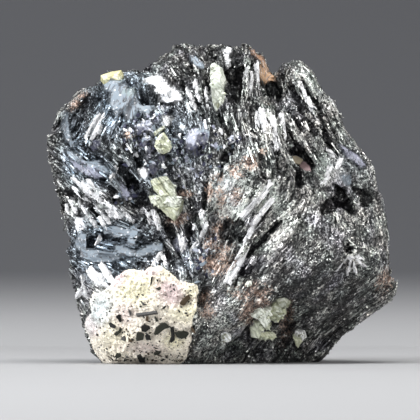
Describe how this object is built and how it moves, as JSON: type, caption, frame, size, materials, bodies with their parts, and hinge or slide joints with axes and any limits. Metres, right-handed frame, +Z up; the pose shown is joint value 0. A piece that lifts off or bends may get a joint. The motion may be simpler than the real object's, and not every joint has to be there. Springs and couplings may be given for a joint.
{
  "type": "hematite rose",
  "caption": "Hand specimen of specular hematite grown as fanning bundles of thin plates, with a block of pale matrix at its foot, resting on a flat broken face.",
  "frame": {"origin": "under the middle of the specimen's box, on the level of the flat broken face it rests on", "axes": "+Z up, +X along the width, with the pale block on the -X side and the pointed tip on the +X side; the front with the fan of plates faces -Y"},
  "size_m": [0.0422, 0.0316, 0.0386],
  "materials": {
    "specular_hematite": "steel-grey to black plates with a metallic glitter, rust-brown in the hollows",
    "pale_matrix": "dull granular cream and pink rock with small dark crystals in it",
    "pale_crystal": "waxy pale yellow-green crystals"
  },
  "bodies": {
    "root": {"hematite_rose": "specular_hematite"}
  },
  "joints": []
}
